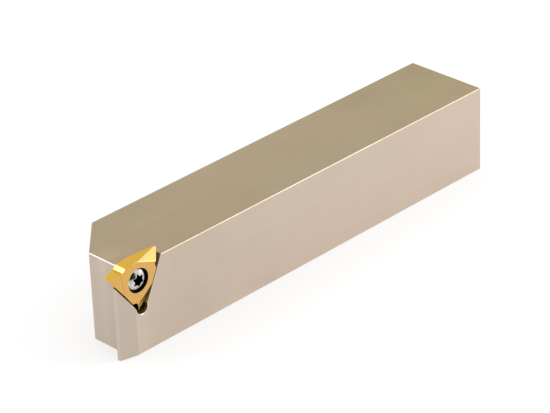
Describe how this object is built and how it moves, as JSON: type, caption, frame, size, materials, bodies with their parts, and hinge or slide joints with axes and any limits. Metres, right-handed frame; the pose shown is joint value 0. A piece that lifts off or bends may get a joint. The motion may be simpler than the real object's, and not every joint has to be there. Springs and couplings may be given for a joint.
{
  "type": "external threading tool holder",
  "caption": "Square steel lathe tool holder with a screwed-on triangular threading insert standing at its front corner.",
  "frame": {"origin": "middle of the base, halfway between the cutting tip and the rear face", "axes": "+X from the cutting tip to the rear face, -Y out of the side the insert is screwed to, +Z from the base to the top"},
  "size_m": [0.177, 0.0321, 0.0343],
  "materials": {
    "holder_steel": "satin nickel-toned finish over fine grinding",
    "coated_carbide": "gold-coloured hard coating, satin",
    "screw_steel": "bare hardened steel, slightly tumbled"
  },
  "bodies": {
    "root": {"holder_body": "holder_steel", "threading_insert": "coated_carbide", "clamp_screw": "screw_steel"}
  },
  "joints": []
}
